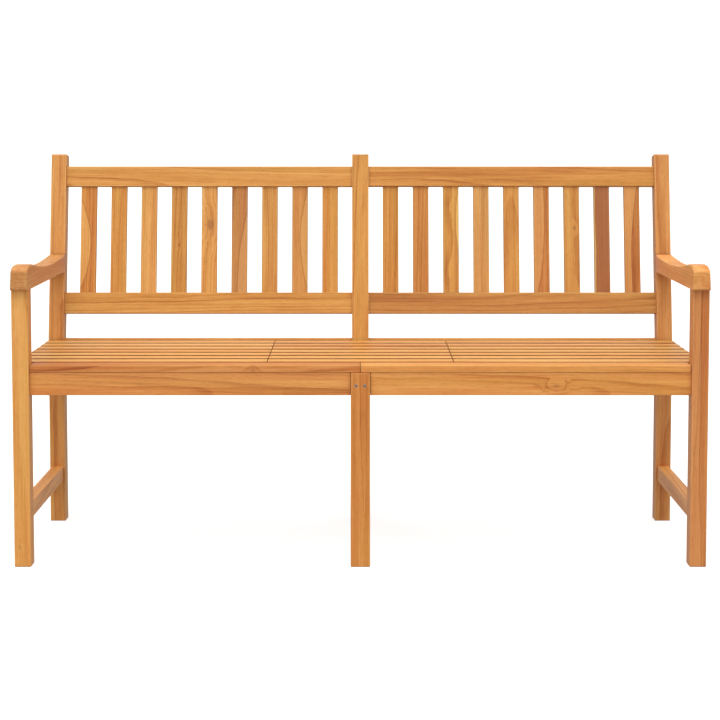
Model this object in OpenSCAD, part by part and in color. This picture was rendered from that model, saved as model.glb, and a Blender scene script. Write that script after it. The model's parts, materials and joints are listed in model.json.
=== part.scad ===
// Three-seat garden bench in solid hardwood. The middle third of the seat is a
// table: it lifts up and forward on two nested leg frames and stays level.
// Millimetres, +Z up, +X to the sitter's left, the back faces +Y.
// Origin: on the ground, at the middle of the bench's footprint.

/* [Overall size] */
// Overall width over the two end frames
bench_w = 1500; // [1400:10:1700]
// Height of the top of the seat slats
seat_h = 440; // [436:1:444]
// Height of the flat underside of the armrests
arm_h = 603; // [596:1:612]
// Height of the front top corner of the reclined posts
post_top = 886; // [876:1:896]
// Recline of the back from vertical, in degrees
recline = 10.3; // [8:0.1:11]

/* [Frame timber] */
// Width of each end leg and end post
leg_w = 36; // [34:1:40]
// Depth of every leg and post
leg_d = 42; // [41:1:44]
// Width of the middle front leg
mid_leg_w = 42; // [40:0.5:44]
// Width of the middle rear post
mid_post_w = 40; // [38:1:42]
// Height of the aprons and side rails
rail_h = 50; // [50:1:52]
// Thickness of the aprons and back rails
rail_t = 22; // [21:1:23]
// Front face of the rear posts behind the front face of the legs
post_y = 463; // [462:1:466]

/* [Seat slats] */
// Thickness of a seat slat
slat_t = 16; // [15:1:18]
// Width of a seat slat
slat_w = 48.5; // [48:0.1:49]
// Distance from one seat slat to the next
slat_pitch = 57.4; // [57.2:0.1:57.6]
// Half length of the table panel
table_half = 203.4; // [203:0.1:203.8]
// Inner end of the side seat slats from the centre line
side_slat_in = 205; // [204.6:0.1:206]

/* [Back slats] */
// Number of slats in each back bay
back_slats = 9; // [7:1:9]
// Width of a back slat
back_slat_w = 38; // [34:1:39]
// Thickness of a back slat
back_slat_t = 12; // [11:1:13]

/* [Table lift] */
// Distance between the two pivots of a table leg
link_l = 190; // [186:1:192]
// Width of a table leg, twice its end radius
link_w = 22; // [20:1:22]
// Depth of the front base pivot behind the leg fronts
pivot_y = 100; // [99:0.5:102]
// Spacing of the front and the rear base pivots
pivot_gap = 140; // [138:1:140]
// Lift angle at which the panel is drawn, in degrees
lift = 0; // [0:1:88]

/* [Hidden] */
$fn = 48;

x_out = bench_w/2;                 // outer face of the end frames
x_in = x_out - leg_w;              // inner face of the end legs
x_mid = x_out - leg_w/2;           // centre of an end frame
under = seat_h - slat_t;           // underside of the seat slats
rail_z = under - rail_h;           // underside of aprons and side rails
bend_z = 450;                      // height where the posts start to recline
nose_y = -16;                      // front of the armrest
post_len = (post_top - bend_z)/cos(recline);
y_back = post_y + (post_len - 5)*sin(recline) + (leg_d - 5)*cos(recline) + 5;
y_shift = -(y_back + nose_y)/2;    // puts the footprint's middle at the origin

apron_y = 10;                      // front face of the aprons
apron_end = mid_leg_w/2 + 0.7;     // apron shoulder beside the middle leg
tongue_y = 21;                     // front face of the apron tongues
rear_y = post_y + 5;               // front face of the rear seat rails
rear_z0 = 393;
rear_z1 = 443;
low_u0 = 55; low_u1 = 105.8;       // lower back rail along the recline
top_u0 = 365; top_u1 = 413.7;      // top back rail along the recline
rail_v = 6;                        // back rails behind the post's front face
slat_v = rail_v + (rail_t - back_slat_t)/2;
bs_first = 73.3;                   // centre of the first back slat
bs_pitch = (x_in - 19 - 36 - bs_first)/(back_slats - 1);
bearer_x0 = 198; bearer_x1 = 226;
batten_x0 = 150; batten_x1 = 172;
front_x0 = 174; front_x1 = 194;    // front links
rear_x0 = 128; rear_x1 = 148;      // rear links
base_z = rail_z + 14;              // base pivots
top_z = under - 12;                // table pivots
rest_a = asin((top_z - base_z)/link_l);
ga = rest_a + lift;                // link angle as drawn
pivot2_y = pivot_y + pivot_gap;
table_dy = link_l*(cos(ga) - cos(rest_a));
table_dz = link_l*(sin(ga) - sin(rest_a));
tp1_y = pivot_y + link_l*cos(rest_a);
tp2_y = tp1_y + pivot_gap;
fit = 0.05;                        // radial clearance of pins and screws
gap = 0.2;                         // clearance round tenons

function slat_y(i) = 8 + (7 - i)*slat_pitch;          // i = 0 is the rear slat
function screw_y(i) = slat_y(i) + slat_w/2 + (i == 0 ? 10 : i == 6 ? -8 : 0);
function uv(u, v) = [post_y + u*sin(recline) + v*cos(recline),
                     bend_z + u*cos(recline) - v*sin(recline)];

teak = [0.80, 0.56, 0.30];
teak_lt = [0.86, 0.63, 0.37];
teak_dk = [0.72, 0.46, 0.23];
steel = [0.70, 0.71, 0.72];

// ---- helpers ----
module place() translate([0, y_shift, 0]) children();
module side(s) { if (s < 0) mirror([1, 0, 0]) children(); else children(); }
module box(a, b) translate(a) cube([b[0]-a[0], b[1]-a[1], b[2]-a[2]]);
module prism_x(x0, x1, pts)
    translate([x0, 0, 0]) rotate([90, 0, 90]) linear_extrude(height = x1 - x0) polygon(pts);
module xcyl(x0, x1, y, z, r) translate([x0, y, z]) rotate([0, 90, 0]) cylinder(h = x1 - x0, r = r);
module ycyl(x, y0, y1, z, r) translate([x, y0, z]) rotate([-90, 0, 0]) cylinder(h = y1 - y0, r = r);
module zcyl(x, y, z0, z1, r) translate([x, y, z0]) cylinder(h = z1 - z0, r = r);
// the reclined frame: local y goes through the back, local z up along it
module reclined() translate([0, post_y, bend_z]) rotate([-recline, 0, 0]) children();
// the moving parts: links turn about their base pivot, the table stays level
module swing(y) translate([0, y, base_z]) rotate([ga, 0, 0]) children();
module table_move() translate([0, table_dy, table_dz]) children();

// the four bolted joints of an end frame: apron, rear rail, lower rail, top rail
module joint_at(k) {
    if (k == 0) translate([0, apron_y + 11, rail_z + 25]) children();
    if (k == 1) translate([0, rear_y + 12, rear_z0 + 34]) children();
    if (k == 2) reclined() translate([0, rail_v + 11, low_u0 + 35]) children();
    if (k == 3) reclined() translate([0, rail_v + 11, top_u0 + 34]) children();
}
dowel_dz = [-15, -23, -23, -22];
nut_x = x_in - 40;
module leg_bores(k) joint_at(k) {
    xcyl(x_in - 1, x_out + 1, 0, 0, 3 + fit);
    xcyl(x_out - 4, x_out + 1, 0, 0, 7.7);
    xcyl(x_in - 1, x_in + 12.5, 0, dowel_dz[k], 4 + fit);
}
module rail_bores(k) joint_at(k) {
    xcyl(x_in - 48, x_in + 1, 0, 0, 3 + fit);
    ycyl(nut_x, -5, 14, 0, 5 + fit);
    xcyl(x_in - 12.5, x_in + 1, 0, dowel_dz[k], 4 + fit);
}

// ---- end frames ----
module front_leg(s) color(teak) place() side(s) difference() {
    union() {
        box([x_in, 0, 0], [x_out, leg_d, arm_h]);
        box([x_in + 7, 10, arm_h - 1], [x_out - 7, 34, arm_h + 22]);
    }
    box([x_mid - 6 - gap, leg_d - 16.5, rail_z + 5 - gap], [x_mid + 6 + gap, leg_d + 1, under - 5 + gap]);
    box([x_mid - 6 - gap, leg_d - 16.5, 103 - gap], [x_mid + 6 + gap, leg_d + 1, 129 + gap]);
    leg_bores(0);
}
module post_shape(x0, x1) {
    rt = 5;
    n = 6;
    u1 = post_len;
    pts = concat(
        [[post_y, 0], [post_y, bend_z]],
        [for (i = [0:n]) let (a = 90*i/n) uv(u1 - rt + rt*sin(a), rt - rt*cos(a))],
        [for (i = [0:n]) let (a = 90*i/n) uv(u1 - rt + rt*cos(a), leg_d - rt + rt*sin(a))],
        [[post_y + leg_d, bend_z - leg_d*tan(recline/2)], [post_y + leg_d, 0]]);
    prism_x(x0, x1, pts);
}
module rear_post(s) color(teak) place() side(s) difference() {
    post_shape(x_in, x_out);
    box([x_mid - 6 - gap, post_y - 1, rail_z + 5 - gap], [x_mid + 6 + gap, post_y + 11.5, under - 5 + gap]);
    box([x_mid - 6 - gap, post_y - 1, 103 - gap], [x_mid + 6 + gap, post_y + 16.5, 129 + gap]);
    leg_bores(1);
    leg_bores(2);
    leg_bores(3);
    reclined() ycyl(x_mid, -1, 20.5, arm_u, 5 + fit);
}
arm_u = 177;                        // armrest dowel along the recline
// key points of the armrest's top, from nose to post, joined by a smooth curve
arm_key = [[-14, 640], [-8, 650], [4, 655], [22, 656.5], [44, 656], [86, 651.5], [130, 646],
           [180, 641.5], [235, 638.5], [295, 637.5], [355, 638.5], [425, 641.5], [505, 646.5]];
function cr(p0, p1, p2, p3, t) = 0.5*(2*p1 + (p2 - p0)*t
    + (2*p0 - 5*p1 + 4*p2 - p3)*t*t + (3*p1 - p0 - 3*p2 + p3)*t*t*t);
function arm_lift(p) = [p[0], p[1] + arm_h - 603];
arm_top = [for (i = [1:len(arm_key) - 3]) for (t = [0:0.25:0.8])
    arm_lift(cr(arm_key[i-1], arm_key[i], arm_key[i+1], arm_key[i+2], t))];
module armrest(s) color(teak_lt) place() side(s) difference() {
    intersection() {
        prism_x(x_in - 3, x_out, concat(
            [[540, arm_h], [-7, arm_h]],
            [for (a = [15:15:75]) [-7 - 9*sin(a), arm_h + 9 - 9*cos(a)]],
            [[nose_y, arm_h + 10], [nose_y, arm_h + 33], [-15, arm_h + 38.5], [-12.2, arm_h + 43.6]],
            arm_top, [[505, arm_h + 43.5], [540, arm_h + 44]]));
        // everything in front of the post's reclined face
        prism_x(x_in - 4, x_out + 1, [[-60, 300], uv(-150, 0), uv(300, 0), [-60, 750]]);
    }
    box([x_in + 7 - gap, 10 - gap, arm_h - 1], [x_out - 7 + gap, 34 + gap, arm_h + 22.5]);
    reclined() ycyl(x_mid, -18.5, 1, arm_u, 5 + fit);
}
module arm_dowels() color(teak_dk) place() for (s = [-1, 1]) side(s)
    reclined() ycyl(x_mid, -18, 20, arm_u, 5);
module stretcher(s) color(teak) place() side(s) {
    box([x_mid - 14, leg_d, 98], [x_mid + 14, post_y, 134]);
    box([x_mid - 6, leg_d - 16, 103], [x_mid + 6, post_y + 16, 129]);
}
module side_rail(s) color(teak_dk) place() side(s) difference() {
    union() {
        box([x_mid - 12, leg_d, rail_z], [x_mid + 12, post_y, under]);
        box([x_mid - 6, leg_d - 16, rail_z + 5], [x_mid + 6, post_y + 11, under - 5]);
    }
    for (i = [0:6]) deep_hole(x_mid, screw_y(i), rail_z);
}

// ---- middle frame ----
module middle_front_leg() color(teak) place() difference() {
    box([-mid_leg_w/2, 0, 0], [mid_leg_w/2, leg_d, under]);
    box([-mid_leg_w/2 - 1, tongue_y - gap, rail_z - gap], [mid_leg_w/2 + 1, leg_d + 1, under + 1]);
    box([-6 - gap, leg_d - 16.5, rail_z - 47 - gap], [6 + gap, leg_d + 1, rail_z - 7 + gap]);
    for (s = [-1, 1]) side(s) {
        ycyl(9.3, -1, leg_d, rail_z + 22, 2 + fit);
        translate([9.3, -0.01, rail_z + 22]) rotate([-90, 0, 0]) cylinder(h = 2.3, r1 = 4, r2 = 2);
    }
}
module centre_leg_screws() color(steel) place() for (s = [-1, 1]) side(s)
    translate([9.3, 0.15, rail_z + 22]) rotate([-90, 0, 0]) difference() {
        union() {
            cylinder(h = 2, r1 = 3.75, r2 = 2);
            translate([0, 0, 1.9]) cylinder(h = 28.5, r = 2);
        }
        rotate([0, 0, 20*s]) translate([-2.1, -0.4, -1]) cube([4.2, 0.8, 2.1]);
        rotate([0, 0, 20*s]) translate([-0.4, -2.1, -1]) cube([0.8, 4.2, 2.1]);
    }
module middle_rear_post() color(teak) place() difference() {
    post_shape(-mid_post_w/2, mid_post_w/2);
    box([-6 - gap, post_y - 1, rail_z - 47 - gap], [6 + gap, post_y + 16.5, rail_z - 7 + gap]);
    for (s = [-1, 1]) side(s) {
        box([mid_post_w/2 - 12.5, rear_y + 5 - gap, rear_z0 + 7 - gap],
            [mid_post_w/2 + 1, rear_y + 17 + gap, rear_z1 - 7 + gap]);
        reclined() {
            box([mid_post_w/2 - 12.5, slat_v - gap, low_u0 + 7 - gap],
                [mid_post_w/2 + 1, slat_v + 12 + gap, low_u1 - 7 + gap]);
            box([mid_post_w/2 - 12.5, slat_v - gap, top_u0 + 7 - gap],
                [mid_post_w/2 + 1, slat_v + 12 + gap, top_u1 - 7 + gap]);
        }
    }
}
module middle_seat_rail() color(teak_dk) place() {
    box([-14, leg_d, rail_z - 52], [14, post_y, rail_z - 2]);
    box([-6, leg_d - 16, rail_z - 47], [6, post_y + 16, rail_z - 7]);
}

// ---- long rails ----
front_screw_x = [60, 390, 652];
module front_apron(s) color(teak) place() side(s) difference() {
    union() {
        box([apron_end, apron_y, rail_z], [x_in, apron_y + rail_t, under]);
        box([0.4, tongue_y, rail_z], [apron_end + 1, apron_y + rail_t, under]);
    }
    rail_bores(0);
    ycyl(9.3, 10, 30.8, rail_z + 22, 2 + fit);
    ycyl((bearer_x0 + bearer_x1)/2, apron_y + rail_t - 12.3, apron_y + rail_t + 1, rail_z + 22, 4 + fit);
    for (x = front_screw_x) deep_hole(x, apron_y + 11, rail_z);
}
module rear_rail(s) color(teak) place() side(s) difference() {
    union() {
        box([mid_post_w/2, rear_y, rear_z0], [x_in, rear_y + rail_t, rear_z1]);
        box([mid_post_w/2 - 12, rear_y + 5, rear_z0 + 7], [mid_post_w/2 + 1, rear_y + 17, rear_z1 - 7]);
    }
    rail_bores(1);
    ycyl((bearer_x0 + bearer_x1)/2, rear_y - 1, rear_y + 12.3, rail_z + 34, 4 + fit);
}
module back_rail(s, u0, u1, k, up) color(teak) place() side(s) difference() {
    reclined() difference() {
        union() {
            box([mid_post_w/2, rail_v, u0], [x_in, rail_v + rail_t, u1]);
            box([mid_post_w/2 - 12, slat_v, u0 + 7], [mid_post_w/2 + 1, slat_v + 12, u1 - 7]);
        }
        for (i = [0:back_slats - 1]) let (x = bs_first + i*bs_pitch)
            box([x - back_slat_w/2 - gap/2, slat_v - gap/2, up ? u1 - 10.5 : u0 - 1],
                [x + back_slat_w/2 + gap/2, slat_v + back_slat_t + gap/2, up ? u1 + 1 : u0 + 10.5]);
    }
    rail_bores(k);
}
module back_slat_group(s) color(teak_lt) place() side(s) reclined()
    for (i = [0:back_slats - 1]) let (x = bs_first + i*bs_pitch)
        box([x - back_slat_w/2, slat_v, low_u1 - 10], [x + back_slat_w/2, slat_v + back_slat_t, top_u0 + 10]);

// ---- seat ----
// a screw pocket from below, with the hole that goes on into the slat
module deep_hole(x, y, z0) {
    zcyl(x, y, z0 - 1, under - 24, 4.6);
    zcyl(x, y, z0 - 1, under + 10.2, 2 + fit);
}
module slat_screw(x, y, z) {
    zcyl(x, y, z - 2.6, z, 4);
    zcyl(x, y, z - 0.1, under + 10, 2);
}
module slat(x0, x1, y) {
    c = 2;
    prism_x(x0, x1, [[y, under], [y + slat_w, under], [y + slat_w, seat_h - c], [y + slat_w - c, seat_h],
                     [y + c, seat_h], [y, seat_h - c]]);
}
module seat_slats(s) color(teak_lt) place() side(s) for (i = [0:6]) difference() {
    slat(side_slat_in, x_out, slat_y(i));
    for (x = [216, x_mid]) zcyl(x, screw_y(i), under - 1, under + 10.2, 2 + fit);
}
module front_slat(s) color(teak_lt) place() side(s) difference() {
    slat(0.4, x_in - 0.5, slat_y(7));
    for (x = front_screw_x) zcyl(x, apron_y + 11, under - 1, under + 10.2, 2 + fit);
}
module seat_slat_screws() color(steel) place() for (s = [-1, 1]) side(s)
    for (i = [0:6]) for (x = [216, x_mid]) slat_screw(x, screw_y(i), under - 24);
module front_slat_screws() color(steel) place() for (s = [-1, 1]) side(s)
    for (x = front_screw_x) slat_screw(x, apron_y + 11, under - 24);

// ---- recess that holds the table ----
module bearer(s) color(teak_dk) place() side(s) difference() {
    box([bearer_x0, apron_y + rail_t, rail_z], [bearer_x1, rear_y, under]);
    for (i = [0:6]) deep_hole(216, screw_y(i), rail_z);
    xcyl(bearer_x0 - 1, bearer_x1 + 1, pivot_y, base_z, 4 + fit);
    xcyl(bearer_x0 - 1, bearer_x1 + 1, pivot2_y, base_z, 4 + fit);
    ycyl((bearer_x0 + bearer_x1)/2, 20, apron_y + rail_t + 12.3, rail_z + 22, 4 + fit);
    ycyl((bearer_x0 + bearer_x1)/2, rear_y - 12.3, rear_y + 1, rail_z + 34, 4 + fit);
    xcyl(bearer_x0 - 1, 207, 77, rail_z + 37, 1.75 + fit);
}
module bearer_dowels() color(teak_lt) place() for (s = [-1, 1]) side(s) {
    ycyl((bearer_x0 + bearer_x1)/2, apron_y + rail_t - 12, apron_y + rail_t + 12, rail_z + 22, 4);
    ycyl((bearer_x0 + bearer_x1)/2, rear_y - 12, rear_y + 12, rail_z + 34, 4);
}
module stop_blocks() color(teak_dk) place() for (s = [-1, 1]) side(s) difference() {
    box([176, 69, rail_z + 24], [bearer_x0, pivot_y - 14.8, under - 0.5]);
    xcyl(170, 207, 77, rail_z + 37, 1.75 + fit);
    xcyl(170, 178.6, 77, rail_z + 37, 3.8);
}
module stop_screws() color(steel) place() for (s = [-1, 1]) side(s) {
    xcyl(176.2, 178.6, 77, rail_z + 37, 3.5);
    xcyl(178.5, 206.5, 77, rail_z + 37, 1.75);
}

// ---- table ----
module table_slats() color(teak_lt) place() table_move() for (i = [0:6]) difference() {
    slat(-table_half, table_half, slat_y(i));
    for (s = [-1, 1]) side(s) zcyl(161, screw_y(i), under - 1, under + 10.2, 2 + fit);
}
module table_batten(s) color(teak_dk) place() table_move() side(s) difference() {
    box([batten_x0, 72, under - 24], [batten_x1, 454, under]);
    for (i = [0:6]) {
        zcyl(161, screw_y(i), under - 25, under - 16, 4.6);
        zcyl(161, screw_y(i), under - 25, under + 1, 2 + fit);
    }
    xcyl(154.5, batten_x1 + 1, tp1_y, top_z, 4 + fit);
    xcyl(batten_x0 - 1, 167.5, tp2_y, top_z, 4 + fit);
}
module table_slat_screws() color(steel) place() table_move() for (s = [-1, 1]) side(s)
    for (i = [0:6]) slat_screw(161, screw_y(i), under - 16);
// a button-head bolt along X with a hex socket; the head points to -X
module button_bolt(x0, len, y, z, hr, hh, r) difference() {
    union() {
        xcyl(x0, x0 + hh, y, z, hr);
        xcyl(x0 + hh - 0.1, x0 + len, y, z, r);
    }
    translate([x0 - 1, y, z]) rotate([0, 90, 0]) cylinder(h = 1 + hh*0.6, r = 2.8, $fn = 6);
}
module front_table_bolts() color(steel) place() table_move() for (s = [-1, 1]) side(s)
    translate([2*175.9, 0, 0]) mirror([1, 0, 0]) button_bolt(155, 41.8, tp1_y, top_z, 7, 2.5, 4);
module rear_table_bolts() color(steel) place() table_move() for (s = [-1, 1]) side(s)
    button_bolt(125.2, 41.8, tp2_y, top_z, 7, 2.5, 4);
module table_washers() color(steel) place() table_move() for (s = [-1, 1]) side(s) {
    washer(172.2, 173.8, tp1_y, top_z, 8, 4.3);
    washer(148.2, 149.8, tp2_y, top_z, 8, 4.3);
}
module washer(x0, x1, y, z, r, ri) difference() {
    xcyl(x0, x1, y, z, r);
    xcyl(x0 - 1, x1 + 1, y, z, ri);
}

// ---- folding links ----
module link_bar(x0, x1) difference() {
    union() {
        box([x0, 0, -link_w/2], [x1, link_l, link_w/2]);
        xcyl(x0, x1, 0, 0, link_w/2);
        xcyl(x0, x1, link_l, 0, link_w/2);
    }
    xcyl(x0 - 1, x1 + 1, 0, 0, 4 + fit);
    xcyl(x0 - 1, x1 + 1, link_l, 0, 4 + fit);
}
bar1 = [40, 80];
bar2 = [90, 130];
module front_link(s) color(teak) place() side(s) swing(pivot_y) difference() {
    link_bar(front_x0, front_x1);
    bar_screw_bore(front_x1, 60);
}
module rear_link(s) color(teak) place() side(s) swing(pivot2_y) difference() {
    link_bar(rear_x0, rear_x1);
    bar_screw_bore(rear_x1, 110);
}
module bar_screw_bore(x1, y) {
    xcyl(x1 - 60, x1 + 1, y, -7, 2 + fit);
    xcyl(x1 - 3.2, x1 + 1, y, -7, 4.3);
}
module front_crossbar() color(teak_dk) place() swing(pivot_y) difference() {
    box([-front_x0, bar1[0], -14], [front_x0, bar1[1], 0]);
    for (s = [-1, 1]) side(s) xcyl(front_x0 - 26, front_x0 + 1, 60, -7, 2 + fit);
}
module rear_crossbar() color(teak_dk) place() swing(pivot2_y) difference() {
    box([-rear_x0, bar2[0], -14], [rear_x0, bar2[1], 0]);
    for (s = [-1, 1]) side(s) xcyl(rear_x0 - 26, rear_x0 + 1, 110, -7, 2 + fit);
}
module bar_screw(x1, y) {
    xcyl(x1 - 3, x1 - 0.4, y, -7, 4);
    xcyl(x1 - 45.5, x1 - 2.9, y, -7, 2);
}
module front_bar_screws() color(steel) place() swing(pivot_y)
    for (s = [-1, 1]) side(s) bar_screw(front_x1, 60);
module rear_bar_screws() color(steel) place() swing(pivot2_y)
    for (s = [-1, 1]) side(s) bar_screw(rear_x1, 110);

// ---- base pivots ----
module hex_nut(x0, h, y, z, ri) difference() {
    translate([x0, y, z]) rotate([0, 90, 0]) cylinder(h = h, r = 7.5, $fn = 6);
    xcyl(x0 - 1, x0 + h + 1, y, z, ri);
}
module pivot_rod() color(steel) place() xcyl(-bearer_x1 - 7, bearer_x1 + 7, pivot2_y, base_z, 4);
module rod_nuts() color(steel) place() for (s = [-1, 1]) side(s)
    hex_nut(bearer_x1, 6.5, pivot2_y, base_z, 4 + 0.02);
module rod_collars() color(steel) place() for (s = [-1, 1]) side(s) {
    washer(rear_x0 - 1.9, rear_x0 - 0.3, pivot2_y, base_z, 8, 4 + 0.02);
    washer(rear_x1 + 0.3, rear_x1 + 1.9, pivot2_y, base_z, 8, 4 + 0.02);
}
module base_bolts() color(steel) place() for (s = [-1, 1]) side(s)
    button_bolt(front_x0 - 3.8, 62.8, pivot_y, base_z, 7, 3.5, 4);
module base_nuts() color(steel) place() for (s = [-1, 1]) side(s)
    hex_nut(bearer_x1, 6.5, pivot_y, base_z, 4 + 0.02);
module base_spacers() color(steel) place() for (s = [-1, 1]) side(s)
    washer(front_x1 + 0.2, bearer_x0, pivot_y, base_z, 8, 4.3);

// ---- frame hardware ----
module frame_bolts() color(steel) place() for (s = [-1, 1]) side(s) for (k = [0:3]) joint_at(k)
    translate([2*x_out - 0.4, 0, 0]) mirror([1, 0, 0])
        button_bolt(x_out - 0.2, x_out - x_in + 46, 0, 0, 7.5, 3.6, 3);
module barrel_nuts() color(steel) place() for (s = [-1, 1]) side(s) for (k = [0:3]) joint_at(k)
    difference() {
        ycyl(nut_x, -4.8, 9, 0, 5);
        xcyl(nut_x - 8, nut_x + 8, 0, 0, 3 + 0.02);
    }
module frame_dowels() color(teak_lt) place() for (s = [-1, 1]) side(s) for (k = [0:3]) joint_at(k)
    xcyl(x_in - 12, x_in + 12, 0, dowel_dz[k], 4);

front_leg(-1);  // left_front_leg
front_leg(1);  // right_front_leg
middle_front_leg();
rear_post(-1);  // left_rear_post
rear_post(1);  // right_rear_post
middle_rear_post();
armrest(-1);  // left_armrest
armrest(1);  // right_armrest
stretcher(-1);  // left_stretcher
stretcher(1);  // right_stretcher
side_rail(-1);  // left_side_rail
side_rail(1);  // right_side_rail
middle_seat_rail();
front_apron(-1);  // left_front_apron
front_apron(1);  // right_front_apron
rear_rail(-1);  // left_rear_rail
rear_rail(1);  // right_rear_rail
back_rail(-1, top_u0, top_u1, 3, false);  // left_top_rail
back_rail(1, top_u0, top_u1, 3, false);  // right_top_rail
back_rail(-1, low_u0, low_u1, 2, true);  // left_lower_rail
back_rail(1, low_u0, low_u1, 2, true);  // right_lower_rail
back_slat_group(-1);  // left_back_slats
back_slat_group(1);  // right_back_slats
seat_slats(-1);  // left_seat_slats
seat_slats(1);  // right_seat_slats
front_slat(-1);  // left_front_slat
front_slat(1);  // right_front_slat
bearer(-1);  // left_bearer
bearer(1);  // right_bearer
table_slats();
table_batten(-1);  // left_table_batten
table_batten(1);  // right_table_batten
front_link(-1);  // left_front_link
front_link(1);  // right_front_link
front_crossbar();
rear_link(-1);  // left_rear_link
rear_link(1);  // right_rear_link
rear_crossbar();
pivot_rod();
rod_nuts();
rod_collars();
base_bolts();
base_nuts();
base_spacers();
front_table_bolts();
rear_table_bolts();
table_washers();
stop_blocks();
stop_screws();
centre_leg_screws();
frame_bolts();
barrel_nuts();
frame_dowels();
arm_dowels();
bearer_dowels();
seat_slat_screws();
front_slat_screws();
table_slat_screws();
front_bar_screws();
rear_bar_screws();
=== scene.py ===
# Garden bench with a lift-up centre table: the looks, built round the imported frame.
import bpy, bmesh, json, math, random
from mathutils import Vector, Matrix


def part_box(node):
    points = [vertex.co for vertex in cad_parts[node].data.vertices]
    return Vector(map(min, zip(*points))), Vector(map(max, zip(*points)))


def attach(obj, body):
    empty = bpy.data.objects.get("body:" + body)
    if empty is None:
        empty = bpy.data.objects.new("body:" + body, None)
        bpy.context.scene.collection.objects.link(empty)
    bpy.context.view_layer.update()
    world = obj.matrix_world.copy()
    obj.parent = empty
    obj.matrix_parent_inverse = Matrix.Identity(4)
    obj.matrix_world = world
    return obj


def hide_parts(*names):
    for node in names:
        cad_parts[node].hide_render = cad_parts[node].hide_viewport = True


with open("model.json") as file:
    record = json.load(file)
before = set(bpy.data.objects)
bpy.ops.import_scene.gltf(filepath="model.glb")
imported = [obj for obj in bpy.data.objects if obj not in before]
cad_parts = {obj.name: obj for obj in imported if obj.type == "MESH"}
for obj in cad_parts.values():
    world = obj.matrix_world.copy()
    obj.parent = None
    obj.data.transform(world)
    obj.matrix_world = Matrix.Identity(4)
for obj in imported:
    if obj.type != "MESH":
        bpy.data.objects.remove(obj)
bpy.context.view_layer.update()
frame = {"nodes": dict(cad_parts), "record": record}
NODES = frame["nodes"]
BODY_OF = {n: b for b, ns in frame["record"]["behaviour"]["bodies"].items() for n in ns}
SLOT_OF = {s["node"]: s["material_slot"] for s in frame["record"]["subparts"]}
MM = 0.001
scene = bpy.context.scene

# ------------------------------------------------------------------ places, from the frame
RECLINE = math.radians(10.3)
BEND_Z = 0.450
POST_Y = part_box("left_rear_post")[0].y          # front face of the posts below the bend
LEG_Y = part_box("left_front_leg")[0].y           # front face of the legs
ARM_Z = 0.603
X_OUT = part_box("right_front_leg")[1].x
MID_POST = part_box("middle_rear_post")[1].x      # half widths of the middle post and leg
MID_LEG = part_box("middle_front_leg")[1].x
REST_A = math.asin(24.0 / 190.0)                # link angle at rest


# ------------------------------------------------------------------ camera
cam_data = bpy.data.cameras.new("camera")
cam = bpy.data.objects.new("camera", cam_data)
scene.collection.objects.link(cam)
scene.camera = cam
cam_data.sensor_width = 36.0
cam_data.lens = 90.873
cam_data.shift_y = -0.14
cam_data.shift_x = -0.0005
cam_data.clip_start = 0.05
cam_data.clip_end = 60.0
cam.location = (0.0, -3.8815 + LEG_Y, 0.9593)
cam.rotation_euler = (math.radians(90.0 - 4.265), 0.0, 0.0)


# ------------------------------------------------------------------ node helpers
def lin(r, g, b, a=1.0):
    def f(v):
        v = v / 255.0
        return v / 12.92 if v <= 0.04045 else ((v + 0.055) / 1.055) ** 2.4
    return (f(r), f(g), f(b), a)


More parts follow.
